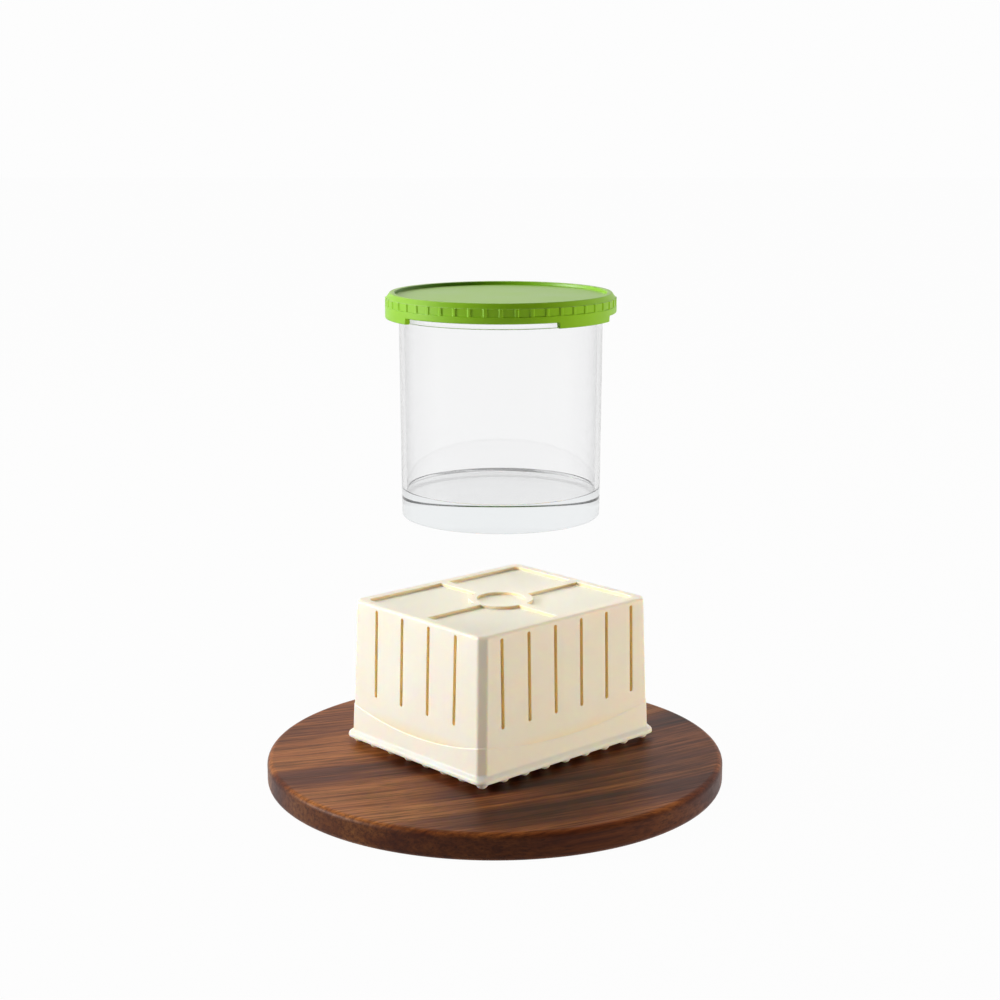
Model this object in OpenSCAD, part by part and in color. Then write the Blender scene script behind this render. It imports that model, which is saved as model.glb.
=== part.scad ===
// Weight-operated tofu press: an upside-down slotted mould box stands on a
// footed drain plate on a round wooden board, and a lidded jar is its weight.
// Z is up. The origin is the centre of the board's underside.

/* [Base board] */
// Diameter of the round board
board_d = 263; // [230:1:320]
// Thickness of the board
board_t = 15.6; // [11:0.1:25]
// Radius of the board's rounded edges
board_edge_r = 3.8; // [1:0.1:5]

/* [Place of the press on the board] */
// Offset of the press from the board's centre, to the right
press_x = 3.4; // [-15:0.1:15]
// Offset of the press from the board's centre, to the back
press_y = 18; // [-20:0.1:25]
// Turn of the box about the vertical
press_turn = 42.6; // [0:0.1:90]
// Height at which the jar hovers over the box, 0 when it is seated
jar_gap = 50.7; // [0:0.1:120]

/* [Press box] */
// Length of the roof
roof_l = 130; // [120:0.5:150]
// Width of the roof
roof_w = 112; // [100:0.5:130]
// Widening of the box from its roof to its mouth, in length
draft_l = 5; // [2:0.5:8]
// Widening of the box from its roof to its mouth, in width
draft_w = 3.6; // [2:0.2:8]
// Height of the box
box_h = 82.6; // [70:0.2:100]
// Thickness of the walls
box_wall = 2.5; // [1.6:0.1:3.5]
// Radius of the upright corners
corner_r = 5.5; // [4.5:0.1:8]
// Radius of the edge round the roof
roof_edge_r = 1.6; // [0.6:0.1:2.5]
// Thickness of the recessed roof panels
roof_t = 2.2; // [1.6:0.1:3]
// Depth of the recessed roof panels below the rim
rib_h = 2; // [1:0.1:3]
// Width of the rim round the roof
rim_w = 6; // [4:0.2:9]
// Width of the cross ribs
rib_w = 6; // [3:0.2:9]
// Outer diameter of the ring in the middle of the roof
ring_d = 37.5; // [30:0.5:50]
// Width of that ring
ring_w = 4.8; // [3:0.2:7]
// Height of the thicker band at the mouth, at the corners
band_h = 21; // [14:0.5:24]
// Sag of the band's upper edge between the corners
band_sag = 7.5; // [1:0.5:9]
// Step of the band out of the wall
band_step = 0.3; // [0.2:0.1:0.8]
// Height of the lip
lip_h = 4.6; // [4:0.1:7]
// Reach of the lip beyond the wall
lip_out = 2.3; // [1.5:0.1:3.5]

/* [Drain slots] */
// Slots in each long wall
long_slots = 6; // [3:1:7]
// Slots in each short wall
short_slots = 4; // [2:1:5]
// Spacing of the slots in the long walls
long_pitch = 20.3; // [14:0.1:20.5]
// Spacing of the slots in the short walls
short_pitch = 22.7; // [14:0.1:24]
// Width of a slot
slot_w = 2; // [1:0.1:3]
// Height of the slots' lower ends over the mouth
slot_low = 28.4; // [20:0.2:40]
// Distance of the slots' upper ends below the roof
slot_top_gap = 3; // [1:0.1:8]

/* [Drain plate] */
// Thickness of the plate
plate_t = 3.2; // [2:0.1:3.6]
// Gap between the plate and the mouth all round
plate_gap = 0.3; // [0.2:0.05:0.6]
// Thickness of the lip outside the plate
lip_wall = 1.8; // [1.4:0.1:2.4]
// Height of the feet under the plate
foot_h = 3.5; // [2.5:0.1:6]
// Diameter of the feet where they meet the plate
foot_d = 7; // [5:0.1:9]
// Diameter of the flats under the feet
foot_flat_d = 2.4; // [1.6:0.1:3]
// Distance of the outer feet from the plate's edge
foot_inset = 4.2; // [3.6:0.1:7]
// Feet along the plate
feet_long = 9; // [5:1:9]
// Feet across the plate
feet_cross = 8; // [4:1:10]
// Diameter of the drain holes in the plate
drain_d = 4.4; // [2:0.1:5]

/* [Jar] */
// Height of the jar
jar_h = 122.2; // [90:0.2:160]
// Diameter of the jar under its flange
jar_d = 115; // [104:0.5:130]
// Narrowing of the jar's diameter from flange to base
jar_draft = 1.8; // [0:0.1:4]
// Thickness of the jar's wall
jar_wall = 2.7; // [1.8:0.1:4]
// Thickness of the solid base
jar_base_t = 16; // [6:0.5:25]
// Radius of the outer edge of the base
heel_r = 2.6; // [1:0.1:5]
// Radius between floor and wall inside
floor_r = 2.5; // [1:0.1:5]
// Reach of the flange beyond the jar's side
flange_out = 3.3; // [2.6:0.1:4]
// Height of the flange
flange_h = 3.2; // [2:0.1:5]
// Reach of the neck above the flange beyond the jar's side
neck_out = 1.1; // [0.6:0.1:1.6]
// Height of the neck above the flange
neck_h = 6.2; // [5:0.1:9]

/* [Lid] */
// Depth of the recessed panel below the rim
lid_recess = 2; // [1:0.1:3]
// Thickness of the panel
lid_panel_t = 1.8; // [1.2:0.1:2.6]
// Width of the rim round the panel
lid_rim_w = 3.2; // [2.4:0.1:5]
// Thickness of the skirt at the grip band
skirt_t = 2.3; // [1.6:0.1:3]
// Gap between the flange and the skirt
skirt_gap = 1.1; // [0.6:0.1:1.8]
// Flare of the skirt from the top rim to the grip band
skirt_flare = 1.4; // [0.8:0.1:2]
// Height of the smooth shoulder above the grip ribs
shoulder_h = 2.7; // [2:0.1:3.5]
// Height of the grip ribs
grip_h = 4.6; // [3:0.1:5]
// Reach of the grip ribs and the plain band below them
grip_out = 0.9; // [0.5:0.1:1.2]
// Width of a grip rib
grip_w = 1.2; // [0.8:0.1:2]
// Number of grip ribs
grip_count = 48; // [24:1:60]
// Thickness of the inner wall that grips the neck
plug_t = 1.1; // [0.9:0.1:1.4]
// Gap between the neck and that wall
plug_gap = 0.3; // [0.25:0.05:0.4]
// Reach of the bead on that wall towards the neck
bead_out = 0.15; // [0.1:0.01:0.15]
// Number of deep tabs round the skirt
tab_count = 3; // [2:1:6]
// Angle that each tab takes
tab_span = 38; // [20:1:55]
// Direction of the middle of the first tab
tab_turn = -42; // [-180:1:180]

/* [Lid seal] */
// Thickness of the seal
seal_t = 1.2; // [0.8:0.1:2]
// Gap between the seal and the lid's inner wall
seal_gap = 0.2; // [0.1:0.05:0.3]
// Thickness of the seal's lip inside the jar
seal_lip_t = 0.9; // [0.7:0.1:1.2]
// Depth of that lip below the jar's mouth
seal_lip_h = 2; // [1:0.1:4]
// Gap between that lip and the jar's wall
seal_lip_gap = 0.4; // [0.3:0.05:0.8]

/* [Hidden] */

$fn = 96;
hull_fn = 32;
arc_steps = 6;
arch_steps = 24;
sliver = 0.01;
over = 1;

// Heights of the stack
box_z = board_t + foot_h;
roof_z = box_z + box_h;
jar_z = roof_z + jar_gap;
mouth_z = jar_z + jar_h;
panel_z = mouth_z + seal_t;
lid_top_z = panel_z + lid_panel_t + lid_recess;

// Box: size of the outer wall at a height z over the mouth
function wall_l(z) = roof_l + draft_l * (1 - z / box_h);
function wall_w(z) = roof_w + draft_w * (1 - z / box_h);
ceiling_z = box_h - rib_h - roof_t;
inner_corner_r = corner_r - box_wall;
lip_round = 0.8;
lip_l = wall_l(0) + 2 * lip_out;
lip_w = wall_w(0) + 2 * lip_out;

// Mouth of the box and the drain plate that fills it
rebate_l = lip_l - 2 * lip_wall;
rebate_w = lip_w - 2 * lip_wall;
rebate_r = corner_r + lip_out - lip_wall;
plate_l = rebate_l - 2 * plate_gap;
plate_w = rebate_w - 2 * plate_gap;
plate_r = rebate_r - plate_gap;
foot_pitch_l = (plate_l - 2 * foot_inset) / (feet_long - 1);
foot_pitch_w = (plate_w - 2 * foot_inset) / (feet_cross - 1);
// A foot is the cap of a ball that passes through both its circles
foot_r0 = foot_flat_d / 2;
foot_r1 = foot_d / 2;
foot_mid = (foot_h * foot_h + foot_r1 * foot_r1 - foot_r0 * foot_r0) / (2 * foot_h);
foot_ball_r = sqrt(foot_r0 * foot_r0 + foot_mid * foot_mid);

// Jar and lid radii
jar_r = jar_d / 2;
jar_base_r = jar_r - jar_draft / 2;
flange_r = jar_r + flange_out;
neck_r = jar_r + neck_out;
bore_r = jar_r - jar_wall;
floor_wall_r = bore_r - jar_draft / 2;
edge_r = 0.6;
plug_in_r = neck_r + plug_gap;
plug_out_r = plug_in_r + plug_t;
skirt_in_r = flange_r + skirt_gap;
grip_r = skirt_in_r + skirt_t;
band_r = grip_r + grip_out;
rim_r = grip_r - skirt_flare;
plug_foot_gap = 0.6;

// Heights in the lid, counted up from the jar's mouth
flange_top_z = -neck_h;
skirt_low_z = flange_top_z - flange_h + 0.2;
skirt_plain_z = flange_top_z + 0.2;
plug_low_z = flange_top_z + plug_foot_gap;
lid_under_z = seal_t;
lid_rim_z = seal_t + lid_panel_t + lid_recess;
grip_top_z = lid_rim_z - shoulder_h;
grip_low_z = grip_top_z - grip_h;

// Points of an arc about [x, y], from angle a to angle b
function arc(x, y, r, a, b, steps = arc_steps) =
    [for (i = [0:steps]) let (t = a + (b - a) * i / steps) [x + r * cos(t), y + r * sin(t)]];

// Outline of a rectangle with round corners
function round_rect(l, w, r) = concat(
    arc(l / 2 - r, w / 2 - r, r, 0, 90),
    arc(r - l / 2, w / 2 - r, r, 90, 180),
    arc(r - l / 2, r - w / 2, r, 180, 270),
    arc(l / 2 - r, r - w / 2, r, 270, 360));

module round_prism(l, w, r, h) {
    linear_extrude(height = h) polygon(round_rect(l, w, r));
}

// Convex body through round rectangles, each given as [height, length, width, radius]
module round_stack(levels) {
    hull()
        for (i = [0:len(levels) - 1], sx = [-1, 1], sy = [-1, 1])
            translate([
                sx * (levels[i][1] / 2 - levels[i][3]),
                sy * (levels[i][2] / 2 - levels[i][3]),
                levels[i][0] - (i > 0 ? sliver : 0)])
                cylinder(r = levels[i][3], h = sliver, $fn = hull_fn);
}

module at_press(z) {
    translate([press_x, press_y, z]) rotate([0, 0, press_turn]) children();
}

module at_jar_mouth() {
    translate([press_x, press_y, mouth_z]) children();
}

module base_board() {
    r = board_d / 2;
    e = board_edge_r;
    color("#5a3524")
        rotate_extrude()
            polygon(concat(
                [[0, 0]],
                arc(r - e, e, e, -90, 0),
                arc(r - e, board_t - e, e, 0, 90),
                [[0, board_t]]));
}

module plate_feet() {
    difference() {
        for (i = [0:feet_long - 1], j = [0:feet_cross - 1])
            translate([
                (i - (feet_long - 1) / 2) * foot_pitch_l,
                (j - (feet_cross - 1) / 2) * foot_pitch_w,
                foot_mid])
                sphere(r = foot_ball_r);
        translate([-plate_l, -plate_w, -2 * foot_ball_r])
            cube([2 * plate_l, 2 * plate_w, 2 * foot_ball_r]);
        translate([-plate_l, -plate_w, foot_h + plate_t / 2])
            cube([2 * plate_l, 2 * plate_w, 2 * foot_ball_r]);
    }
}

module drain_plate() {
    color("#efe4c8")
        at_press(board_t)
            difference() {
                union() {
                    translate([0, 0, foot_h]) round_prism(plate_l, plate_w, plate_r, plate_t);
                    plate_feet();
                }
                for (i = [0:feet_long - 2], j = [0:feet_cross - 2])
                    translate([
                        (i - (feet_long - 2) / 2) * foot_pitch_l,
                        (j - (feet_cross - 2) / 2) * foot_pitch_w,
                        foot_h - over])
                        cylinder(d = drain_d, h = plate_t + 2 * over);
            }
}

// Cut above the band on the wall that stands at y = outside and is as long as span
module band_arch(span, outside) {
    r = (span * span / 4 + band_sag * band_sag) / (2 * band_sag);
    half = asin(span / 2 / r);
    translate([0, outside + over, band_h - band_sag + r])
        rotate([90, 0, 0])
            linear_extrude(height = over + box_wall)
                polygon(concat(
                    arc(0, 0, r, -90 - half, half - 90, arch_steps),
                    [[span / 2, box_h - r], [-span / 2, box_h - r]]));
}

// Thicker band at the mouth, whose upper edge hangs in an arch between the corners
module box_band() {
    difference() {
        round_stack([
            [0, wall_l(0) + 2 * band_step, wall_w(0) + 2 * band_step, corner_r],
            [band_h, wall_l(band_h) + 2 * band_step, wall_w(band_h) + 2 * band_step, corner_r]]);
        for (side = [0, 180]) rotate([0, 0, side]) {
            band_arch(wall_l(0), wall_w(0) / 2 + band_step);
            rotate([0, 0, 90]) band_arch(wall_w(0), wall_l(0) / 2 + band_step);
        }
    }
}

module box_shell() {
    e = roof_edge_r;
    round_stack(concat(
        [[0, wall_l(0), wall_w(0), corner_r]],
        [for (i = [0:arc_steps]) let (t = 90 * i / arc_steps, z = box_h - e * (1 - sin(t)))
            [z, wall_l(z) - 2 * e * (1 - cos(t)), wall_w(z) - 2 * e * (1 - cos(t)),
             corner_r - e * (1 - cos(t))]]));
    box_band();
    // Lip
    round_stack([
        [0, lip_l - 2 * lip_round, lip_w - 2 * lip_round, corner_r],
        [lip_round, lip_l, lip_w, corner_r + lip_round],
        [lip_h - lip_out + band_step, lip_l, lip_w, corner_r + lip_round],
        [lip_h, wall_l(lip_h) + 2 * band_step, wall_w(lip_h) + 2 * band_step, corner_r]]);
}

module box_cavity() {
    // The draft runs on below the mouth, so that the cut passes through it
    round_stack([
        [-over, wall_l(-over) - 2 * box_wall, wall_w(-over) - 2 * box_wall, inner_corner_r],
        [ceiling_z - inner_corner_r / 2, wall_l(ceiling_z) - 2 * box_wall,
         wall_w(ceiling_z) - 2 * box_wall, inner_corner_r],
        [ceiling_z, wall_l(ceiling_z) - 2 * box_wall - inner_corner_r,
         wall_w(ceiling_z) - 2 * box_wall - inner_corner_r, inner_corner_r / 2]]);
    translate([0, 0, -over]) round_prism(rebate_l, rebate_w, rebate_r, plate_t + over);
}

module roof_recesses() {
    panel_l = roof_l - 2 * rim_w;
    panel_w = roof_w - 2 * rim_w;
    difference() {
        round_prism(panel_l, panel_w, inner_corner_r, rib_h + over);
        translate([-panel_l / 2 - over, -rib_w / 2, -over])
            cube([panel_l + 2 * over, rib_w, rib_h + 3 * over]);
        translate([-rib_w / 2, -panel_w / 2 - over, -over])
            cube([rib_w, panel_w + 2 * over, rib_h + 3 * over]);
        translate([0, 0, -over]) cylinder(d = ring_d, h = rib_h + 3 * over);
    }
    cylinder(d = ring_d - 2 * ring_w, h = rib_h + over);
}

// One slot, cut along +Y through a wall that starts at y = 0
module slot_cut(depth) {
    top = box_h - slot_top_gap - slot_w / 2;
    low = slot_low + slot_w / 2;
    translate([-slot_w / 2, 0, low]) cube([slot_w, depth, top - low]);
    for (z = [low, top]) translate([0, 0, z]) rotate([-90, 0, 0]) cylinder(d = slot_w, h = depth);
}

module wall_slots(count, pitch, outside, depth) {
    for (side = [0, 180], i = [0:count - 1])
        rotate([0, 0, side])
            translate([(i - (count - 1) / 2) * pitch, outside - depth, 0]) slot_cut(depth);
}

module press_box() {
    slot_reach = box_wall + 2 * over;
    color("#f3ead2")
        at_press(box_z)
            difference() {
                box_shell();
                box_cavity();
                translate([0, 0, box_h - rib_h]) roof_recesses();
                wall_slots(long_slots, long_pitch, wall_w(0) / 2 + over, slot_reach + draft_w / 2);
                rotate([0, 0, 90])
                    wall_slots(short_slots, short_pitch, wall_l(0) / 2 + over, slot_reach + draft_l / 2);
            }
}

module jar() {
    low = flange_top_z - flange_h;
    base = -jar_h;
    color("#e4ecec", 0.35)
        at_jar_mouth()
            rotate_extrude()
                polygon(concat(
                    [[0, base]],
                    arc(jar_base_r - heel_r, base + heel_r, heel_r, -90, 0),
                    [[jar_r, low]],
                    arc(flange_r - edge_r, low + edge_r, edge_r, -90, 0),
                    arc(flange_r - edge_r, flange_top_z - edge_r, edge_r, 0, 90),
                    [[neck_r, flange_top_z]],
                    arc(neck_r - edge_r, -edge_r, edge_r, 0, 90),
                    arc(bore_r + edge_r, -edge_r, edge_r, 90, 180),
                    arc(floor_wall_r - floor_r, base + jar_base_t + floor_r, floor_r, 0, -90),
                    [[0, base + jar_base_t]]));
}

module lid_profile() {
    polygon(concat(
        [[0, lid_under_z], [plug_in_r, lid_under_z]],
        // Inner wall with its bead
        [[plug_in_r, plug_low_z + 2.4 * edge_r], [plug_in_r - bead_out, plug_low_z + 1.6 * edge_r],
         [plug_in_r - bead_out, plug_low_z + edge_r], [plug_in_r + edge_r / 2, plug_low_z],
         [plug_out_r, plug_low_z], [plug_out_r, lid_under_z]],
        // Skirt, from its inside to the grip band
        [[skirt_in_r, lid_under_z], [skirt_in_r, skirt_low_z + edge_r / 2],
         [skirt_in_r + edge_r / 2, skirt_low_z]],
        arc(band_r - edge_r, skirt_low_z + edge_r, edge_r, -90, 0),
        [[band_r, grip_low_z - edge_r / 2], [grip_r, grip_low_z], [grip_r, grip_top_z]],
        // Shoulder and rim
        arc(rim_r - edge_r, lid_rim_z - edge_r, edge_r, 20, 90),
        arc(rim_r - lid_rim_w + edge_r, lid_rim_z - edge_r, edge_r, 90, 180),
        [[rim_r - lid_rim_w - edge_r / 2, lid_under_z + lid_panel_t], [0, lid_under_z + lid_panel_t]]));
}

module lid() {
    gap_span = 360 / tab_count - tab_span;
    color("#7cb518")
        at_jar_mouth()
            difference() {
                union() {
                    rotate_extrude() lid_profile();
                    for (i = [0:grip_count - 1])
                        rotate([0, 0, i * 360 / grip_count])
                            translate([grip_r - skirt_t / 2, -grip_w / 2, grip_low_z - edge_r])
                                cube([skirt_t / 2 + grip_out, grip_w, grip_h + edge_r]);
                }
                // Between its tabs the skirt ends above the flange
                for (i = [0:tab_count - 1])
                    rotate([0, 0, tab_turn + tab_span / 2 + i * 360 / tab_count])
                        rotate_extrude(angle = gap_span)
                            translate([skirt_in_r - over / 2, skirt_low_z - over])
                                square([band_r - skirt_in_r + over, skirt_plain_z - skirt_low_z + over]);
            }
}

module lid_seal() {
    ring_out = plug_in_r - bead_out - seal_gap;
    lip_out_r = bore_r - seal_lip_gap;
    lip_in_r = lip_out_r - seal_lip_t;
    color("#e9ece6")
        at_jar_mouth()
            rotate_extrude()
                polygon([
                    [lip_in_r, seal_t], [lip_in_r, -seal_lip_h + edge_r / 2],
                    [lip_in_r + edge_r / 2, -seal_lip_h], [lip_out_r, -seal_lip_h + edge_r / 2],
                    [lip_out_r, 0], [ring_out, 0], [ring_out, seal_t]]);
}

base_board();
drain_plate();
press_box();
jar();
lid();
lid_seal();
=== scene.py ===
"""Looks of the weight-operated tofu press: board, drain plate, press box, jar, lid and seal."""

import math

import bmesh
import bpy
from mathutils import Matrix, Vector


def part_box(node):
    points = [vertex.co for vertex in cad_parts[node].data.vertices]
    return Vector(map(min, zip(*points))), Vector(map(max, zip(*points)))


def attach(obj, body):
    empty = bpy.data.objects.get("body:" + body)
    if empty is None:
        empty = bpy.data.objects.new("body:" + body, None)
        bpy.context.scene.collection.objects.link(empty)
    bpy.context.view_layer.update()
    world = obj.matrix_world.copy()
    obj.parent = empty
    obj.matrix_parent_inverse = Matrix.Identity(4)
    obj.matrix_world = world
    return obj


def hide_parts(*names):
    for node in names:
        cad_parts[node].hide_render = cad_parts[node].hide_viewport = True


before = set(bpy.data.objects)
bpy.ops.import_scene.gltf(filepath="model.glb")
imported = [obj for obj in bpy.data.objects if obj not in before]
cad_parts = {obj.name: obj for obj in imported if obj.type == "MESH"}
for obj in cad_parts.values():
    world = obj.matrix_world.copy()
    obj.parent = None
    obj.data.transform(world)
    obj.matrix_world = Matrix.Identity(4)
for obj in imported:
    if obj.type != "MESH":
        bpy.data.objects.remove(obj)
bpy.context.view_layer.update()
MM = 0.001

# Sizes in millimetres and turns in degrees. They are those of the part's source, apart from ROOF_EDGE_R, SLOT_W,
# SLOT_TOP_GAP, HEEL_R and FLOOR_R, which were matched to the photograph. Places come from the frame.
BOARD_EDGE_R = 3.8
PRESS_TURN = 42.6
ROOF_L, ROOF_W, DRAFT_L, DRAFT_W, BOX_H = 130, 112, 5, 3.6, 82.6
BOX_WALL, CORNER_R, ROOF_EDGE_R, ROOF_T = 2.5, 5.5, 1.9, 2.2
RIB_H, RIM_W, RIB_W, RING_D, RING_W = 2, 6, 6, 37.5, 4.8
BAND_H, BAND_SAG, BAND_STEP, LIP_H, LIP_OUT, LIP_ROUND, LIP_WALL = 21, 7.5, 0.3, 4.6, 2.3, 0.8, 1.8
LONG_SLOTS, SHORT_SLOTS, LONG_PITCH, SHORT_PITCH = 6, 4, 20.3, 22.7
SLOT_W, SLOT_LOW, SLOT_TOP_GAP = 2.4, 28.4, 2.7
PLATE_T = 3.2
JAR_H, JAR_D, JAR_DRAFT, JAR_WALL, JAR_BASE_T = 122.2, 115, 1.8, 2.7, 16
HEEL_R, FLOOR_R, FLANGE_OUT, FLANGE_H, NECK_OUT, NECK_H = 1.2, 0.7, 3.3, 3.2, 1.1, 6.2
LID_RECESS, LID_PANEL_T, LID_RIM_W = 2, 1.8, 3.2
SKIRT_T, SKIRT_GAP, SKIRT_FLARE, SHOULDER_H = 2.3, 1.1, 1.4, 2.7
GRIP_H, GRIP_OUT, GRIP_W, GRIP_COUNT = 4.6, 0.9, 1.2, 48
PLUG_T, PLUG_GAP, PLUG_FOOT_GAP = 1.1, 0.3, 0.6
TAB_COUNT, TAB_SPAN, TAB_TURN = 3, 38, -42
SEAL_T = 1.2
EDGE_R, NOOK_R = 0.6, 0.5

# Forms that only the scene has: the band's edge as (height from it in mm, share of the step), degrees over which
# a grip rib and a tab rise, and the share of a rib's height that the windows between the ribs keep
BAND_EDGE = ((-0.35, 1.0), (-0.15, 0.8), (0.15, 0.2), (0.35, 0.0))
RIB_FLANK, TAB_FLANK, WINDOW_SHARE = 0.6, 0.35, 0.45

# How finely round forms are divided, and how far cutters reach past what they cut, in mm
BOARD_SIDES, JAR_SIDES, HOLE_SIDES = 256, 192, 48
ARC_STEPS, RING_STEPS, SLOT_STEPS, CORNER_STEPS, SIDE_STEPS = 6, 12, 8, 11, 24
OVER = 1

# Degrees that the board's grain is turned from +X, and half the width in metres that its bands cover
GRAIN_TURN, PLANK_HALF = 25, 0.13
# Lightness of the wood across the grain, partly painted shade in the bands in front of the box, and painted light and
# shade along it in the front half, from the left end (0) on: lighter at the left end, darker in front of the box
PLANK_BANDS_AND_SHADE = ((0.0, 0.60), (0.10, 0.40), (0.18, 0.60), (0.27, 0.42), (0.38, 0.52), (0.48, 0.30), (0.55, 0.68),
                (0.67, 0.63), (0.80, 0.48), (1.0, 0.58))
# The next three give painted light on the left of the board's front half and painted shade in front of the box
PAINTED_LIGHT_ALONG = ((0.0, 1.0), (0.18, 1.0), (0.36, 0.2), (0.44, 0.0), (0.56, 0.0), (0.70, 0.36), (1.0, 0.48))
PAINTED_LIGHT_LEVEL, PAINTED_LIGHT_SHARE = 0.42, 0.14
WOOD_TONES = ((0.38, "#33170b"), (0.46, "#683216"), (0.54, "#985829"), (0.64, "#c27e42"))
# The third of these tones is painted shade on the board's upright side
FIBRE_TONE, PORE_TONE, SIDE_SHADE_TONE = "#3a190a", "#1c0c06", "#382320"
# The golden tone is painted light inside the slots and painted shade on the walls of the roof's recesses
CREAM_TONES, PAINTED_GLOW_AND_SHADE_TONE = ("#f3ecde", "#f6f0e4"), "#ffe2a4"
GREEN_TONES = "#83ba13", "#8bc21c"
SEAL_TONES = "#dfe2da", "#eceee8"
# Grey of the glass from seen face on (0) to seen edge on (1), painted shade that darkens the jar's sides, and the
# tone of its thick base
GLASS_EDGE_SHADE = ((0.25, (0.965, 0.966, 0.968, 1)), (0.55, (0.90, 0.90, 0.905, 1)),
               (0.80, (0.66, 0.66, 0.665, 1)), (1.0, (0.42, 0.42, 0.425, 1)))
BASE_TONE, HAZE_TONE, HAZE_DENSITY = (0.965, 0.97, 0.97, 1), (0.88, 0.90, 0.91, 1), 9.0

board_low, board_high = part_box("base_board")
jar_low, jar_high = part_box("jar")
box_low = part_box("press_box")[0]
press_x = (jar_low.x + jar_high.x) / 2
press_y = (jar_low.y + jar_high.y) / 2

# ---------------------------------------------------------------- mesh helpers


def new_object(name, data):
    """Object with the given data, linked to the scene."""
    thing = bpy.data.objects.new(name, data)
    bpy.context.scene.collection.objects.link(thing)
    return thing


def mesh_object(name, bm):
    """Object made of a bmesh, which is freed."""
    mesh = bpy.data.meshes.new(name)
    bm.to_mesh(mesh)
    bm.free()
    return new_object(name, mesh)


def new_piece(name, bm, body, nodes, material):
    """Turns a bmesh into a smooth piece that rides on a body and stands for CAD nodes."""
    bmesh.ops.recalc_face_normals(bm, faces=bm.faces)
    piece = mesh_object(name, bm)
    piece.data.shade_smooth()
    piece.data.materials.append(material)
    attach(piece, body)
    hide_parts(*nodes)
    return piece


def weigh_normals(piece):
    """Keeps flat faces flat and lets the small fillets between them carry the shading."""
    modifier = piece.modifiers.new("normals", "WEIGHTED_NORMAL")
    modifier.keep_sharp = True
    modifier.weight = 80


def bevel_edges(piece, width, segments, sharper_than):
    """Rounds the edges that turn by more than an angle in degrees. The width is in mm."""
    bevel = piece.modifiers.new("edges", "BEVEL")
    bevel.width, bevel.segments, bevel.limit_method = width * MM, segments, "ANGLE"
    bevel.angle_limit = math.radians(sharper_than)


def fillet(corners, step=15):
    """Closed outline in which each corner (x, y, radius) is an arc, with a point every step degrees or less."""
    outline = []
    for i, (x, y, radius) in enumerate(corners):
        here = Vector((x, y))
        before = Vector(corners[i - 1][:2]) - here
        after = Vector(corners[(i + 1) % len(corners)][:2]) - here
        if radius <= 0:
            outline.append(here)
            continue
        u, v = before.normalized(), after.normalized()
        half = u.angle(v) / 2
        centre = here + (u + v).normalized() * (radius / math.sin(half))
        start = here + u * (radius / math.tan(half)) - centre
        turn = math.pi - 2 * half
        if u.x * v.y - u.y * v.x > 0:
            turn = -turn
        count = max(2, math.ceil(math.degrees(abs(turn)) / step))
        for k in range(count + 1):
            outline.append(centre + Matrix.Rotation(turn * k / count, 2) @ start)
    return outline


def lathe(outline, place, sides):
    """Solid of revolution of an outline of (radius, height) in mm, which starts and ends on the axis."""
    bm = bmesh.new()
    rings = []
    for r, z in outline:
        if r < 1e-6:
            rings.append([bm.verts.new(place + Vector((0, 0, z * MM)))])
            continue
        ring = []
        for k in range(sides):
            a = 2 * math.pi * k / sides
            ring.append(bm.verts.new(place + Vector((r * math.cos(a), r * math.sin(a), z)) * MM))
        rings.append(ring)
    for a, b in zip(rings, rings[1:]):
        join_rings(bm, a, b)
    return bm


def join_rings(bm, a, b):
    """Faces between two rings of points. A ring of one point is a pole."""
    if len(a) == 1 and len(b) == 1:
        return
    count = max(len(a), len(b))
    for k in range(count):
        n = (k + 1) % count
        corners = [a[k % len(a)], b[k % len(b)], b[n % len(b)], a[n % len(a)]]
        bm.faces.new(list(dict.fromkeys(corners)))


def close_ends(bm, rings):
    """Faces over the first and the last ring of points."""
    bm.faces.new(rings[0])
    bm.faces.new(list(reversed(rings[-1])))


# ---------------------------------------------------------------- materials


def linear(hex_colour):
    """Blender's linear colour of an sRGB hex colour."""
    parts = [int(hex_colour[i:i + 2], 16) / 255 for i in (1, 3, 5)]
    return [c / 12.92 if c <= 0.04045 else ((c + 0.055) / 1.055) ** 2.4 for c in parts] + [1]


def greys(stops):
    """Stops of a colour ramp from (position, grey)."""
    return [(position, (grey, grey, grey, 1)) for position, grey in stops]


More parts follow.
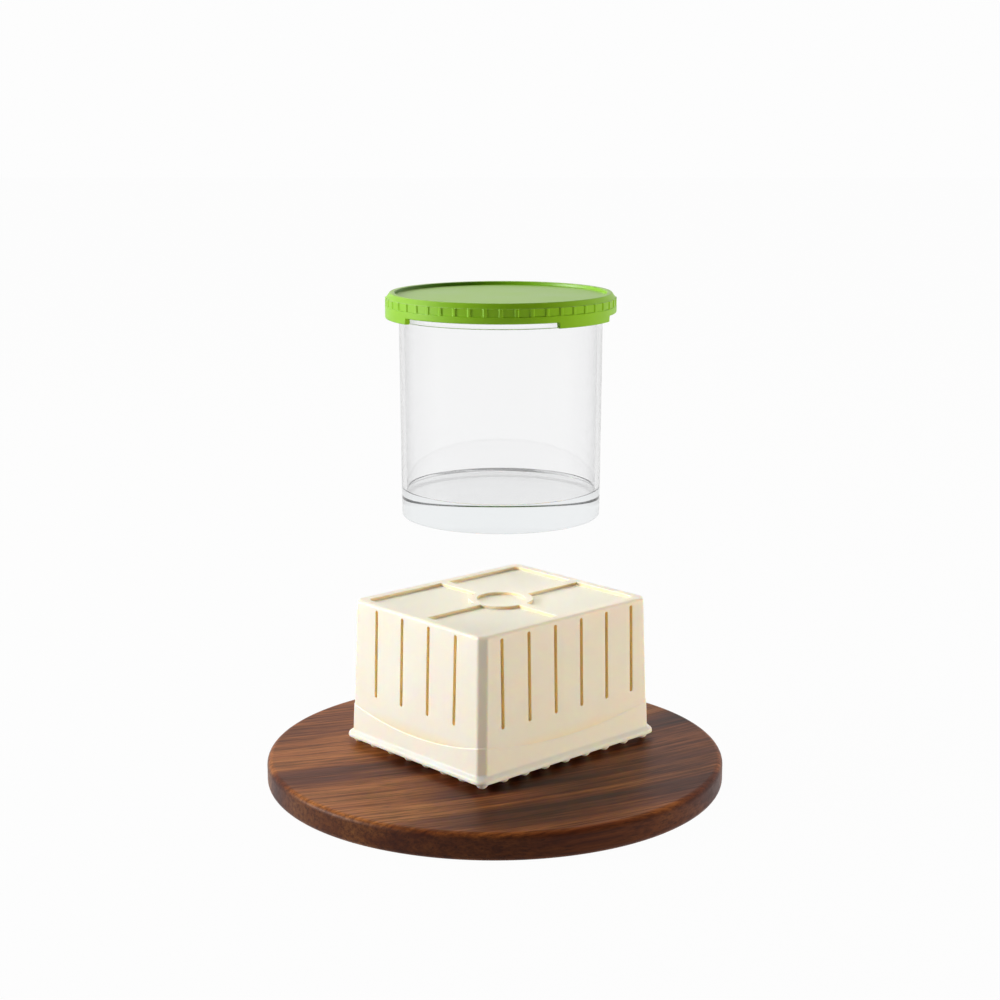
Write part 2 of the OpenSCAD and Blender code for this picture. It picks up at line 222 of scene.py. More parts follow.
class Nodes:
    """Short hand for building the node tree of a material or the world."""

    def __init__(self, owner, output="OutputMaterial"):
        owner.use_nodes = True
        self.owner, self.tree = owner, owner.node_tree
        self.tree.nodes.clear()
        self.out = self.add(output)

    def add(self, kind, inputs=None, **settings):
        node = self.tree.nodes.new("ShaderNode" + kind)
        for key, value in settings.items():
            setattr(node, key, value)
        for key, value in (inputs or {}).items():
            if isinstance(value, bpy.types.NodeSocket):
                self.tree.links.new(value, node.inputs[key])
            else:
                node.inputs[key].default_value = value
        return node

    def place(self, rotation=(0, 0, 0), location=(0, 0, 0)):
        where = self.add("TexCoord").outputs["Object"]
        return self.add("Mapping", {"Vector": where, "Rotation": rotation, "Location": location}).outputs["Vector"]

    def split(self, vector):
        return self.add("SeparateXYZ", {"Vector": vector}).outputs

    def noise(self, vector, scale, detail=3, roughness=0.5, distortion=0):
        return self.add("TexNoise", {"Vector": vector, "Scale": scale, "Detail": detail,
                                     "Roughness": roughness, "Distortion": distortion}).outputs["Fac"]

    def ramp(self, fac, stops, mode="LINEAR"):
        node = self.add("ValToRGB", {"Fac": fac})
        node.color_ramp.interpolation = mode
        elements = node.color_ramp.elements
        while len(elements) < len(stops):
            elements.new(0.5)
        for element, (position, colour) in zip(elements, stops):
            element.position = position
            element.color = colour
        return node.outputs["Color"]

    def grade(self, fac, low, high, to_low=0.0, to_high=1.0):
        return self.add("MapRange", {"Value": fac, "From Min": low, "From Max": high,
                                     "To Min": to_low, "To Max": to_high}).outputs["Result"]

    def mix(self, fac, a, b):
        node = self.add("Mix", data_type="RGBA")
        for key, value in ((0, fac), (6, a), (7, b)):
            if isinstance(value, bpy.types.NodeSocket):
                self.tree.links.new(value, node.inputs[key])
            else:
                node.inputs[key].default_value = value
        return node.outputs[2]

    def math(self, operation, a, b=0.0):
        return self.add("Math", {0: a, 1: b}, operation=operation).outputs[0]

    def bump(self, height, strength, distance):
        return self.add("Bump", {"Height": height, "Strength": strength, "Distance": distance}).outputs["Normal"]

    def choose(self, fac, a, b):
        return self.add("MixShader", {0: fac, 1: a, 2: b}).outputs[0]

    def finish(self, shader):
        self.tree.links.new(shader, self.out.inputs["Surface"])
        return self.owner


def material_nodes(name):
    return Nodes(bpy.data.materials.new(name))


def walnut():
    n = material_nodes("walnut_wood")
    # Turned first, then bent a little across the grain, then drawn out along it
    turned = n.split(n.place(rotation=(0, 0, math.radians(-GRAIN_TURN))))
    along, across = turned["X"], turned["Y"]
    bent = n.math("SUBTRACT", across, n.math("MULTIPLY", n.math("MULTIPLY", along, along), 0.7))
    grain = n.add("CombineXYZ", {"X": along, "Y": bent, "Z": turned["Z"]}).outputs["Vector"]

    def drawn(*scale):
        return n.add("Mapping", {"Vector": grain, "Scale": scale}).outputs["Vector"]

    zones = n.noise(drawn(3.5, 16, 16), 1.0, 2, 0.5, 0.6)
    streak = n.noise(drawn(6, 135, 135), 1.0, 4, 0.6, 0.4)
    fine = n.noise(drawn(18, 480, 480), 1.0, 5, 0.7)
    pores = n.noise(drawn(70, 1400, 1400), 1.0, 2, 0.5)
    # Bands of heartwood and lighter wood across the plank, wavering a little; the darker bands that pass in front of
    # the box are partly painted shade
    wavy = n.math("ADD", bent, n.math("MULTIPLY", n.math("SUBTRACT", zones, 0.5), 0.03))
    bands_and_shade = n.ramp(n.grade(wavy, -PLANK_HALF, PLANK_HALF), greys(PLANK_BANDS_AND_SHADE), "EASE")
    figure = n.math("ADD", n.math("MULTIPLY", bands_and_shade, 0.45),
                    n.math("ADD", n.math("MULTIPLY", zones, 0.27), n.math("MULTIPLY", streak, 0.28)))
    # Painted light and shade on the front half of the board: lighter towards the left end, where the left lamp falls,
    # and darker in the middle, in front of the box
    painted_light = n.ramp(n.grade(along, -PLANK_HALF, PLANK_HALF), greys(PAINTED_LIGHT_ALONG), "EASE")
    painted_light = n.math("MULTIPLY", n.math("SUBTRACT", painted_light, PAINTED_LIGHT_LEVEL), PAINTED_LIGHT_SHARE)
    figure = n.math("ADD", figure, n.math("MULTIPLY", painted_light, n.grade(bent, -0.04, 0.015, 1.0, 0.0)))
    tone = n.ramp(figure, [(position, linear(colour)) for position, colour in WOOD_TONES])
    tone = n.mix(n.grade(fine, 0.42, 0.62, 0.0, 0.7), tone, linear(FIBRE_TONE))
    tone = n.mix(n.grade(pores, 0.56, 0.70, 0.0, 0.6), tone, linear(PORE_TONE))
    # Painted shade: the board's upright side is darker and greyer all round
    upright = n.split(n.add("NewGeometry").outputs["Normal"])["Z"]
    edge = n.grade(n.math("ABSOLUTE", upright), 0.35, 0.85, 0.72, 0.0)
    tone = n.mix(edge, tone, linear(SIDE_SHADE_TONE))
    rough = n.grade(fine, 0.25, 0.75, 0.34, 0.50)
    relief = n.bump(n.math("ADD", n.math("MULTIPLY", fine, 0.6), n.math("MULTIPLY", pores, 0.5)), 0.2, 0.0002)
    shader = n.add("BsdfPrincipled", {"Base Color": tone, "Roughness": rough, "Normal": relief,
                                      "Specular IOR Level": 0.11, "IOR": 1.45})
    return n.finish(shader.outputs["BSDF"])


def cream_plastic():
    n = material_nodes("cream_moulded_plastic")
    where = n.place()
    cloud = n.noise(where, 18.0, 3)
    skin = n.noise(where, 1400.0, 2)
    tone = n.mix(n.grade(cloud, 0.3, 0.7), *map(linear, CREAM_TONES))
    # Painted light: the plastic is given a golden tone inside the drain slots, standing in for light that reaches it
    # through the walls. How deep a point lies below the outside is counted in the box's own directions, from its
    # drafted walls and round corners.
    local = n.add("Mapping", {"Vector": n.place(location=(-press_x, -press_y, -box_low.z)),
                              "Rotation": (0, 0, math.radians(-PRESS_TURN))}).outputs["Vector"]
    parts = n.split(local)
    height = parts["Z"]
    beyond, across = [], []
    for axis, roof, draft in (("X", ROOF_L, DRAFT_L), ("Y", ROOF_W, DRAFT_W)):
        flat = n.grade(height, 0, BOX_H * MM,
                       ((roof + draft) / 2 - CORNER_R) * MM, (roof / 2 - CORNER_R) * MM)
        past = n.math("SUBTRACT", n.math("ABSOLUTE", parts[axis]), flat)
        beyond.append(n.math("MAXIMUM", past, 0.0))
        across.append(past)
    reach = n.math("SQRT", n.math("ADD", n.math("MULTIPLY", beyond[0], beyond[0]),
                                  n.math("MULTIPLY", beyond[1], beyond[1])))
    reach = n.math("ADD", reach, n.math("MINIMUM", n.math("MAXIMUM", *across), 0.0))
    depth = n.math("SUBTRACT", CORNER_R * MM, reach)
    below_roof = n.math("SUBTRACT", BOX_H * MM, height)
    painted_glow_in_walls = n.math("MULTIPLY", n.grade(depth, 0.05 * MM, 0.45 * MM),
                     n.grade(below_roof, (RIB_H + 0.5) * MM, (RIB_H + 0.9) * MM))
    painted_glow_in_walls = n.math("MULTIPLY", painted_glow_in_walls, n.grade(height, (PLATE_T + 0.2) * MM, (PLATE_T + 2) * MM))
    painted_glow_in_walls = n.math("MULTIPLY", painted_glow_in_walls, n.grade(n.math("MINIMUM", *across), -2 * MM, -1 * MM, 1, 0))
    # Painted shade: the walls of the roof's recesses have a weaker share of the golden tone
    painted_shade_in_recesses = n.math("MULTIPLY", n.grade(below_roof, 0.25 * MM, 0.6 * MM, 0, 0.6),
                       n.grade(below_roof, (RIB_H - 0.3) * MM, (RIB_H - 0.05) * MM, 1, 0))
    painted_shade_in_recesses = n.math("MULTIPLY", painted_shade_in_recesses, n.grade(depth, (RIM_W - 2) * MM, (RIM_W - 1) * MM))
    tone = n.mix(n.math("MAXIMUM", painted_glow_in_walls, painted_shade_in_recesses), tone, linear(PAINTED_GLOW_AND_SHADE_TONE))
    rough = n.grade(cloud, 0.3, 0.7, 0.36, 0.46)
    relief = n.bump(skin, 0.06, 0.0001)
    shader = n.add("BsdfPrincipled", {"Base Color": tone, "Roughness": rough, "Normal": relief,
                                      "Subsurface Weight": 0.6, "Subsurface Radius": (1.0, 0.62, 0.28),
                                      "Subsurface Scale": 0.0035, "IOR": 1.5, "Specular IOR Level": 0.35})
    return n.finish(shader.outputs["BSDF"])


def green_plastic():
    n = material_nodes("green_moulded_plastic")
    where = n.place()
    cloud = n.noise(where, 22.0, 3)
    skin = n.noise(where, 900.0, 2)
    tone = n.mix(n.grade(cloud, 0.3, 0.7), *map(linear, GREEN_TONES))
    rough = n.grade(cloud, 0.3, 0.7, 0.37, 0.46)
    relief = n.bump(skin, 0.08, 0.0001)
    shader = n.add("BsdfPrincipled", {"Base Color": tone, "Roughness": rough, "Normal": relief,
                                      "Subsurface Weight": 0.08, "Subsurface Radius": (0.6, 1.0, 0.1),
                                      "Subsurface Scale": 0.002, "IOR": 1.5, "Specular IOR Level": 0.42})
    return n.finish(shader.outputs["BSDF"])


def clear_glass():
    n = material_nodes("clear_glass")
    where = n.place()
    relief = n.bump(n.noise(where, 26.0, 2), 0.04, 0.001)
    rough = n.grade(n.noise(where, 60.0, 2), 0.3, 0.7, 0.0, 0.012)
    # Painted shade: the sides of the jar, seen edge on, are tinted greyer
    facing = n.add("LayerWeight", {"Blend": 0.5}).outputs["Facing"]
    tone = n.ramp(facing, GLASS_EDGE_SHADE)
    height = n.split(where)["Z"]
    base = n.grade(height, jar_low.z + (JAR_BASE_T - 2) * MM, jar_low.z + (JAR_BASE_T + 1) * MM, 0.65, 0)
    tone = n.mix(base, tone, BASE_TONE)
    shader = n.add("BsdfPrincipled", {"Base Color": tone, "Roughness": rough,
                                      "Normal": relief, "Transmission Weight": 1.0, "IOR": 1.49})
    haze = n.add("VolumeAbsorption", {"Color": HAZE_TONE, "Density": HAZE_DENSITY})
    n.tree.links.new(haze.outputs[0], n.out.inputs["Volume"])
    return n.finish(shader.outputs["BSDF"])


def seal_rubber():
    n = material_nodes("seal_rubber")
    where = n.place()
    dust = n.noise(where, 300.0, 3)
    tone = n.mix(n.grade(dust, 0.3, 0.7), *map(linear, SEAL_TONES))
    shader = n.add("BsdfPrincipled", {"Base Color": tone, "Roughness": n.grade(dust, 0.3, 0.7, 0.5, 0.65),
                                      "Normal": n.bump(dust, 0.1, 0.0002)})
    return n.finish(shader.outputs["BSDF"])


WALNUT, CREAM, GREEN, GLASS, RUBBER = walnut(), cream_plastic(), green_plastic(), clear_glass(), seal_rubber()

# ---------------------------------------------------------------- board


def build_board():
    r = (board_high.x - board_low.x) / 2 / MM
    t = (board_high.z - board_low.z) / MM
    e = BOARD_EDGE_R
    outline = [Vector((0, 0))]
    outline += fillet([(r, 0, e), (r, t, e), (0, t, 0), (0, 0, 0)], 10)[:-2]
    outline.append(Vector((0, t)))
    middle = Vector(((board_low.x + board_high.x) / 2, (board_low.y + board_high.y) / 2, board_low.z))
    bm = lathe(outline, middle, BOARD_SIDES)
    piece = new_piece("walnut_board", bm, "board", ["base_board"], WALNUT)
    weigh_normals(piece)


# ---------------------------------------------------------------- jar


def build_jar():
    jar_r = JAR_D / 2
    base_r = jar_r - JAR_DRAFT / 2
    flange_r, neck_r, bore_r = jar_r + FLANGE_OUT, jar_r + NECK_OUT, jar_r - JAR_WALL
    floor_wall_r = bore_r - JAR_DRAFT / 2
    top, flange_top = JAR_H, JAR_H - NECK_H
    flange_low = flange_top - FLANGE_H
    outline = [Vector((0, 0))]
    outline += fillet([
        (base_r, 0, HEEL_R), (jar_r, flange_low, NOOK_R), (flange_r, flange_low, EDGE_R),
        (flange_r, flange_top, EDGE_R), (neck_r, flange_top, NOOK_R), (neck_r, top, EDGE_R),
        (bore_r, top, EDGE_R), (floor_wall_r, JAR_BASE_T, FLOOR_R), (0, JAR_BASE_T, 0), (0, 0, 0)], 12)[:-2]
    outline.append(Vector((0, JAR_BASE_T)))
    bm = lathe(outline, Vector((press_x, press_y, jar_low.z)), JAR_SIDES)
    piece = new_piece("glass_jar", bm, "weight", ["jar"], GLASS)
    weigh_normals(piece)
    # Clear glass lets the lamps through, so the roof below has no grey patch
    piece.visible_shadow = False


# ---------------------------------------------------------------- press box


def wall_length(z):
    return ROOF_L + DRAFT_L * (1 - z / BOX_H)


def wall_width(z):
    return ROOF_W + DRAFT_W * (1 - z / BOX_H)


def arch_height(along, span):
    """Height of the band's upper edge at a distance along a wall from its middle."""
    r = (span * span / 4 + BAND_SAG * BAND_SAG) / (2 * BAND_SAG)
    return BAND_H - BAND_SAG + r - math.sqrt(r * r - min(abs(along), span / 2) ** 2)


def corner_insets(radius, flat, steps=CORNER_STEPS):
    """Insets of a corner's points from its two walls: round (0), or a narrow flat with soft edges (1).
    The number of steps is odd, so that the flat lies between two points."""
    r = radius * 0.5
    reach = radius * 0.72 + r * math.tan(math.radians(22.5))
    insets = []
    for k in range(steps + 1):
        a = math.radians(90 * k / steps)
        plain = radius * (1 - math.cos(a)), radius * (1 - math.sin(a))
        half = min(k, steps - k)
        t = math.radians(45 * half / (steps // 2))
        soft = r * (1 - math.cos(t)), reach - r * math.sin(t)
        if half != k:
            soft = soft[1], soft[0]
        insets.append([p + (q - p) * flat for p, q in zip(plain, soft)])
    return insets


def wall_ring(length, width, radius, flat, side_steps):
    """Points (x, y, height of the band there) of a rectangle with round or flattened corners."""
    def on_short_wall(x, y):
        return x, y, arch_height(y, wall_width(0))

    def on_long_wall(x, y):
        return x, y, arch_height(x, wall_length(0))

    insets = corner_insets(radius, flat)
    corners = []
    for sx, sy in ((1, 1), (-1, 1), (-1, -1), (1, -1)):
        corner = [(on_short_wall if u < v else on_long_wall)(sx * (length / 2 - u), sy * (width / 2 - v))
                  for u, v in insets]
        corners.append(corner if sx * sy > 0 else corner[::-1])
    ring = []
    for corner, following in zip(corners, corners[1:] + corners[:1]):
        ring += corner
        begin, end = corner[-1], following[0]
        short = abs(end[0] - begin[0]) < abs(end[1] - begin[1])
        for k in range(1, side_steps):
            x = begin[0] + (end[0] - begin[0]) * k / side_steps
            y = begin[1] + (end[1] - begin[1]) * k / side_steps
            ring.append(on_short_wall(x, y) if short else on_long_wall(x, y))
    return ring


def loft(levels, side_steps=SIDE_STEPS):
    """Closed solid through rectangles (height, length, width, corner radius, share of flat), where a height
    may follow the band."""
    bm = bmesh.new()
    rings = []
    for height, length, width, radius, flat in levels:
        ring = []
        for x, y, band in wall_ring(length, width, radius, flat, side_steps):
            z = height(band) if callable(height) else height
            ring.append(bm.verts.new((x * MM, y * MM, z * MM)))
        rings.append(ring)
    for a, b in zip(rings, rings[1:]):
        join_rings(bm, a, b)
    close_ends(bm, rings)
    bmesh.ops.recalc_face_normals(bm, faces=bm.faces)
    return bm


def wall_level(z, offset, radius, band=None, flat=1.0):
    """Level of the box's outside, offset outwards from the plain wall at height z."""
    middle = z if band is None else BAND_H
    return (z if band is None else band, wall_length(middle) + 2 * offset,
            wall_width(middle) + 2 * offset, radius, flat)


def add_prism(bm, *ends):
    """Adds a closed prism between two rings of points in mm."""
    rings = [[bm.verts.new(point * MM) for point in end] for end in ends]
    join_rings(bm, *rings)
    close_ends(bm, rings)


def upright_prism(bm, outline, low, high):
    """Adds an upright prism over an outline of (x, y) in mm."""
    add_prism(bm, *([Vector((x, y, z)) for x, y in outline] for z in (low, high)))


def slot_prism(bm, along, outside, depth, turn):
    """Adds the cutter of one slot in the wall whose outside is at y = outside, turned about Z."""
    r = SLOT_W / 2
    low, top = SLOT_LOW + r, BOX_H - SLOT_TOP_GAP - r
    outline = []
    for middle, start in ((low, 180), (top, 0)):
        for k in range(SLOT_STEPS + 1):
            a = math.radians(start + 180 * k / SLOT_STEPS)
            outline.append((along + r * math.cos(a), middle + r * math.sin(a)))
    spin = Matrix.Rotation(math.radians(turn), 3, "Z")
    add_prism(bm, *([spin @ Vector((x, y, z)) for x, z in outline]
                    for y in (outside + 3 * OVER, outside - depth)))


def roof_panel_outline():
    """Outline of the recess in the roof's first quarter, round the ring in the middle."""
    a, ring = RIB_W / 2, RING_D / 2
    far_x, far_y, r = ROOF_L / 2 - RIM_W, ROOF_W / 2 - RIM_W, CORNER_R - BOX_WALL
    outline = []
    start = math.asin(a / ring)
    for k in range(RING_STEPS + 1):
        t = math.pi / 2 - start - (math.pi / 2 - 2 * start) * k / RING_STEPS
        outline.append((ring * math.cos(t), ring * math.sin(t)))
    outline.append((far_x, a))
    for k in range(ARC_STEPS + 1):
        t = math.radians(90 * k / ARC_STEPS)
        outline.append((far_x - r + r * math.cos(t), far_y - r + r * math.sin(t)))
    outline.append((a, far_y))
    return outline


def cut(piece, cutter_bm):
    """Cuts a closed cutter out of a piece's mesh."""
    bmesh.ops.recalc_face_normals(cutter_bm, faces=cutter_bm.faces)
    cutter = mesh_object("cutter", cutter_bm)
    modifier = piece.modifiers.new("cut", "BOOLEAN")
    modifier.operation, modifier.solver, modifier.object = "DIFFERENCE", "EXACT", cutter
    result = bpy.data.meshes.new_from_object(piece.evaluated_get(bpy.context.evaluated_depsgraph_get()))
    piece.modifiers.clear()
    old, piece.data = piece.data, result
    bpy.data.meshes.remove(old)
    bpy.data.objects.remove(cutter)


def build_press_box():
    inner_r = CORNER_R - BOX_WALL
    ceiling = BOX_H - RIB_H - ROOF_T
    # Half section of the lip as offset and height, from its underside to the wall above it
    lip = fillet([(0, 0, 0), (LIP_OUT, 0, LIP_ROUND), (LIP_OUT, LIP_H - LIP_OUT, 1.3),
                  (BAND_STEP, LIP_H - BAND_STEP, 1.6), (BAND_STEP, LIP_H + 2, 0)], 15)[1:-1]
    levels = [wall_level(0, LIP_OUT - LIP_ROUND, CORNER_R, flat=0.0)]
    levels += [wall_level(p.y, p.x, CORNER_R + max(0, p.x - BAND_STEP) * 0.4, flat=min(1, p.y / LIP_H) ** 2)
               for p in lip[1:]]
    levels.append(wall_level(LIP_H + 2, BAND_STEP, CORNER_R))
    levels += [wall_level(0, BAND_STEP * share, CORNER_R, lambda band, above=above: band + above)
               for above, share in BAND_EDGE]
    levels.append(wall_level(BAND_H + 2, 0, CORNER_R))
    for k in range(ARC_STEPS + 1):
        t = math.radians(90 * k / ARC_STEPS)
        inset = ROOF_EDGE_R * (1 - math.cos(t))
        levels.append(wall_level(BOX_H - ROOF_EDGE_R * (1 - math.sin(t)), -inset, CORNER_R - inset))
    piece = mesh_object("moulded_press_box", loft(levels))

    def inner_level(z, inset, radius):
        return (z, wall_length(z) - 2 * BOX_WALL - inset, wall_width(z) - 2 * BOX_WALL - inset, radius, 0.0)

    # The cavity, the rebate that the plate lies in, and then the roof's recesses and the slots in one cut
    cut(piece, loft([inner_level(-OVER, 0, inner_r), inner_level(ceiling - inner_r / 2, 0, inner_r),
                     inner_level(ceiling, inner_r, inner_r / 2)], 1))
    rebate_l = wall_length(0) + 2 * (LIP_OUT - LIP_WALL)
    rebate_w = wall_width(0) + 2 * (LIP_OUT - LIP_WALL)
    rebate_r = CORNER_R + LIP_OUT - LIP_WALL
    cut(piece, loft([(z, rebate_l, rebate_w, rebate_r, 0.0) for z in (-OVER, PLATE_T)], 1))
    cutter = bmesh.new()
    for sx, sy in ((1, 1), (-1, 1), (-1, -1), (1, -1)):
        outline = [(sx * x, sy * y) for x, y in roof_panel_outline()]
        upright_prism(cutter, outline, BOX_H - RIB_H, BOX_H + 2 * OVER)
    hole = RING_D / 2 - RING_W
    turns = [2 * math.pi * k / HOLE_SIDES for k in range(HOLE_SIDES)]
    upright_prism(cutter, [(hole * math.cos(t), hole * math.sin(t)) for t in turns],
                  BOX_H - RIB_H, BOX_H + 2 * OVER)
    walls = ((LONG_SLOTS, LONG_PITCH, wall_width(0) / 2, DRAFT_W, 0),
             (SHORT_SLOTS, SHORT_PITCH, wall_length(0) / 2, DRAFT_L, 90))
    for count, pitch, outside, draft, turn in walls:
        for side in (0, 180):
            for i in range(count):
                slot_prism(cutter, (i - (count - 1) / 2) * pitch, outside, BOX_WALL + draft / 2 + OVER,
                           turn + side)
    cut(piece, cutter)
    piece.data.transform(Matrix.Translation((press_x, press_y, box_low.z))
                         @ Matrix.Rotation(math.radians(PRESS_TURN), 4, "Z"))
    piece.data.materials.clear()
    piece.data.materials.append(CREAM)
    piece.data.shade_smooth()
    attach(piece, "box")
    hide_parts("press_box")
    bevel_edges(piece, 0.5, 3, 38)
    weigh_normals(piece)


# ---------------------------------------------------------------- lid


def lid_outline():
    """Half section of the lid between its tabs and ribs, from the axis below to the axis on top, and with it
    the radius behind the ribs and the heights of the ribs' ends and of the skirt's lower edge."""
    jar_r = JAR_D / 2
    flange_r, neck_r = jar_r + FLANGE_OUT, jar_r + NECK_OUT
    plug_in, skirt_in = neck_r + PLUG_GAP, flange_r + SKIRT_GAP
    plug_out, grip = plug_in + PLUG_T, skirt_in + SKIRT_T
    band, rim = grip + GRIP_OUT, grip - SKIRT_FLARE
    under, panel = SEAL_T, SEAL_T + LID_PANEL_T
    top = panel + LID_RECESS
    plug_low = -NECK_H + PLUG_FOOT_GAP
    skirt_low = -NECK_H + 0.2
    grip_top = top - SHOULDER_H
    grip_low = grip_top - GRIP_H
    rim_in = rim - LID_RIM_W
    outline = fillet([
        (plug_in, under, 0.3), (plug_in, plug_low, 0.3), (plug_out, plug_low, 0.3), (plug_out, under, 0.4),
        (skirt_in, under, 0.5), (skirt_in, skirt_low, 0.3), (band, skirt_low, EDGE_R),
        (band, grip_low, 0.25), (grip, grip_low + 0.3, 0.2), (grip, grip_top, 0.9),
        (rim, top - 0.4, 0.4), (rim - 0.5, top, 0.5), (rim_in, top, 0.7), (rim_in - 0.3, panel, 0.5),
        (0, panel, 0), (0, under, 0)], 18)[:-2]
    return [Vector((0, under))] + outline + [Vector((0, panel))], grip, grip_low, grip_top, skirt_low


def lid_columns():
    """Angles of the lid's columns in degrees, each with its share of rib and of tab."""
    pitch = 360 / GRIP_COUNT
    half = math.degrees(GRIP_W / 2 / (JAR_D / 2 + FLANGE_OUT + SKIRT_GAP + SKIRT_T))
    foot = half + RIB_FLANK
    gap = pitch - 2 * foot
    tab_pitch = 360 / TAB_COUNT
    angles = set()
    for i in range(GRIP_COUNT):
        c = i * pitch
        for d in (-foot, -half, 0, half, foot):
            angles.add(round((c + d) % 360, 4))
        for k in (1, 2, 3):
            angles.add(round((c + foot + gap * k / 4) % 360, 4))
    for i in range(TAB_COUNT):
        middle = TAB_TURN + tab_pitch * i
        for d in (-TAB_SPAN / 2, -TAB_SPAN / 2 + TAB_FLANK, TAB_SPAN / 2 - TAB_FLANK, TAB_SPAN / 2):
            angles.add(round((middle + d) % 360, 4))
    columns = []
    for angle in sorted(angles):
        from_rib = abs((angle + pitch / 2) % pitch - pitch / 2)
        rib = min(1, max(0, (foot - from_rib) / RIB_FLANK))
        from_tab = abs((angle - TAB_TURN + tab_pitch / 2) % tab_pitch - tab_pitch / 2)
        tab = min(1, max(0, (TAB_SPAN / 2 - from_tab) / TAB_FLANK))
        columns.append((math.radians(angle), rib, tab))
    return columns


def build_lid():
    outline, grip, grip_low, grip_top, skirt_low = lid_outline()
    columns = lid_columns()
    place = Vector((press_x, press_y, jar_high.z))
    bm = bmesh.new()
    rings = []
    for r, z in outline:
        if r < 1e-6:
            rings.append([bm.verts.new(place + Vector((0, 0, z * MM)))])
            continue
        ribbed = r > grip - 0.3 and grip_low + 0.2 < z < grip_top - 0.15
        tabbed = z < skirt_low + EDGE_R + 0.01 and r > JAR_D / 2 + FLANGE_OUT
        ring = []
        for angle, rib, tab in columns:
            at_r = max(r, grip + GRIP_OUT * (WINDOW_SHARE + (1 - WINDOW_SHARE) * rib)) if ribbed else r
            # A tab reaches down over the jar's flange
            at_z = z - FLANGE_H * tab if tabbed else z
            at = Vector((at_r * math.cos(angle), at_r * math.sin(angle), at_z))
            ring.append(bm.verts.new(place + at * MM))
        rings.append(ring)
    for a, b in zip(rings, rings[1:]):
        join_rings(bm, a, b)
    piece = new_piece("ribbed_lid", bm, "cap", ["lid"], GREEN)
    bevel_edges(piece, 0.12, 2, 35)
    weigh_normals(piece)


# ---------------------------------------------------------------- stage

# Colours of the world from the camera's side (0) to the back (1), as light, as gloss and through glass
WORLD_LIGHT = ((0.0, (0.12, 0.10, 0.08, 1)), (0.42, (0.28, 0.23, 0.18, 1)), (0.62, (1, 1, 1, 1)), (1.0, (1, 1, 1, 1)))
WORLD_SEEN = greys(((0.0, 0.04), (0.40, 0.12), (0.60, 0.9), (1.0, 1.0)))
WORLD_THROUGH = ((0.0, (0.38, 0.38, 0.38, 1)), (0.40, (0.74, 0.74, 0.75, 1)), (0.55, (0.98, 0.98, 0.98, 1)),
                 (1.0, (1, 1, 1, 1)))
LIGHT_STRENGTH, SEEN_STRENGTH = 0.26, 0.99
# Greys of the background as the camera sees it, and of the floor in the lamps' light
WORLD_WHITE, FLOOR_GLOW, FLOOR_GREY = 0.982, 0.975, 0.32

# Lamps: name, place, aim, width and height in metres, power in watts, colour, and whether gloss shows it
LAMPS = (
    ("left", (-1.60, -0.12, 0.68), (0, 0, 0.10), 0.8, 0.5, 32, (1, 1, 1), True),
    ("right", (1.7, -0.15, 0.14), (0, 0, 0.10), 0.9, 0.24, 22.5, (1, 0.90, 0.76), False),
    ("back", (-0.3, 1.25, 1.55), (0, 0, 0.05), 1.2, 0.9, 12, (1, 0.90, 0.74), True),
    ("front", (0.1, -1.9, 0.08), (0, 0, 0.05), 0.6, 0.12, 6, (1, 0.88, 0.74), False))

# The camera that was fitted to the photograph: lens and sensor in mm, degrees down, and place in metres
LENS, SENSOR, CAMERA_DOWN, CAMERA_PLACE = 69.24, 36, 11.98, (0.00294, -1.0638, 0.38935)


def plain_stage():
    """Pale floor that shows as the white background and keeps a faint shadow."""
    bpy.ops.mesh.primitive_plane_add(size=12, location=(0, 2, 0))
    floor = bpy.context.object
    floor.name = "floor"
    n = material_nodes("white_floor")
    path = n.add("LightPath")
    seen = n.math("MAXIMUM", path.outputs["Is Camera Ray"],
                  n.math("MAXIMUM", path.outputs["Is Glossy Ray"], path.outputs["Is Transmission Ray"]))
    plain = n.add("BsdfDiffuse", {"Color": (FLOOR_GREY, FLOOR_GREY, FLOOR_GREY, 1)})
    glow = n.add("Emission", {"Color": (1, 1, 1, 1), "Strength": 1.0})
    share = n.math("MULTIPLY", seen, FLOOR_GLOW)
    floor.data.materials.append(n.finish(n.choose(share, plain.outputs[0], glow.outputs[0])))


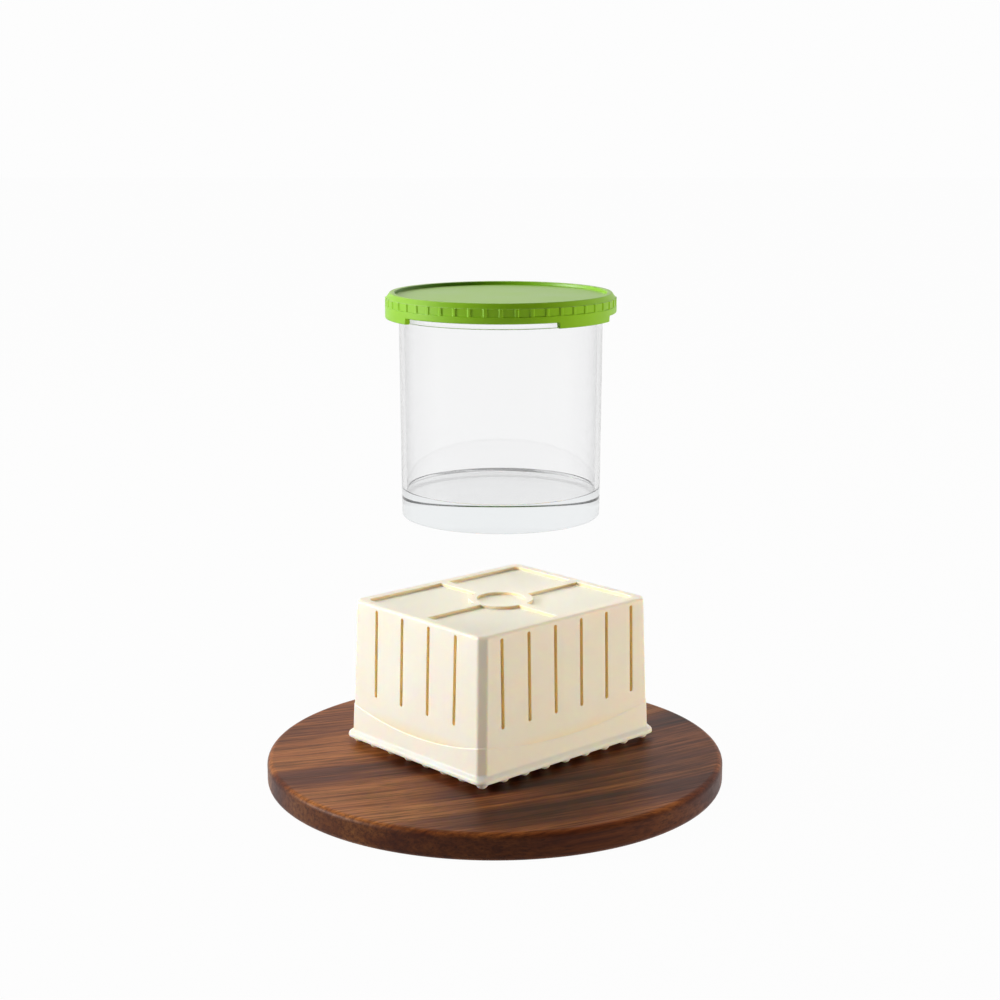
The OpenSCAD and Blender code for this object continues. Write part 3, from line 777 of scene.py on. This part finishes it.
def white_world():
    """Soft light from behind, dim towards the camera's side, and white where it is seen."""
    world = bpy.data.worlds.new("studio")
    bpy.context.scene.world = world
    n = Nodes(world, "OutputWorld")
    depth = n.grade(n.split(n.add("TexCoord").outputs["Generated"])["Y"], -1, 1)

    def sky(stops, strength):
        """Background whose colour follows the direction from the front (0) to the back (1)."""
        return n.add("Background", {"Color": n.ramp(depth, stops), "Strength": strength}).outputs[0]

    path = n.add("LightPath").outputs
    white = n.add("Background", {"Color": (WORLD_WHITE, WORLD_WHITE, WORLD_WHITE, 1)}).outputs[0]
    lit = n.choose(path["Is Glossy Ray"], sky(WORLD_LIGHT, LIGHT_STRENGTH), sky(WORLD_SEEN, SEEN_STRENGTH))
    clear = n.choose(path["Is Transmission Ray"], lit, sky(WORLD_THROUGH, SEEN_STRENGTH))
    n.finish(n.choose(path["Is Camera Ray"], clear, white))


def soft_lamp(name, place, aim, width, height, power, colour, gloss):
    lamp = bpy.data.lights.new(name, "AREA")
    lamp.shape = "RECTANGLE"
    lamp.size, lamp.size_y = width, height
    lamp.energy = power
    lamp.color = colour
    holder = new_object(name, lamp)
    holder.location = place
    holder.rotation_euler = (Vector(aim) - Vector(place)).to_track_quat("-Z", "Y").to_euler()
    holder.visible_camera = False
    holder.visible_transmission = False
    holder.visible_glossy = gloss


def studio():
    bpy.context.scene.view_settings.view_transform = "Standard"
    plain_stage()
    white_world()
    for lamp in LAMPS:
        soft_lamp(*lamp)


def photo_camera():
    data = bpy.data.cameras.new("camera")
    data.lens, data.sensor_width = LENS, SENSOR
    data.clip_start, data.clip_end = 0.05, 50
    camera = new_object("camera", data)
    camera.location = CAMERA_PLACE
    camera.rotation_euler = (math.radians(90 - CAMERA_DOWN), 0, 0)
    bpy.context.scene.camera = camera


def dress_node(node, material):
    """Keeps a CAD node's own mesh and gives it a material."""
    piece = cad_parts[node]
    piece.data.materials.clear()
    piece.data.materials.append(material)


photo_camera()
studio()
build_board()
build_jar()
build_press_box()
build_lid()
dress_node("drain_plate", CREAM)
dress_node("lid_seal", RUBBER)
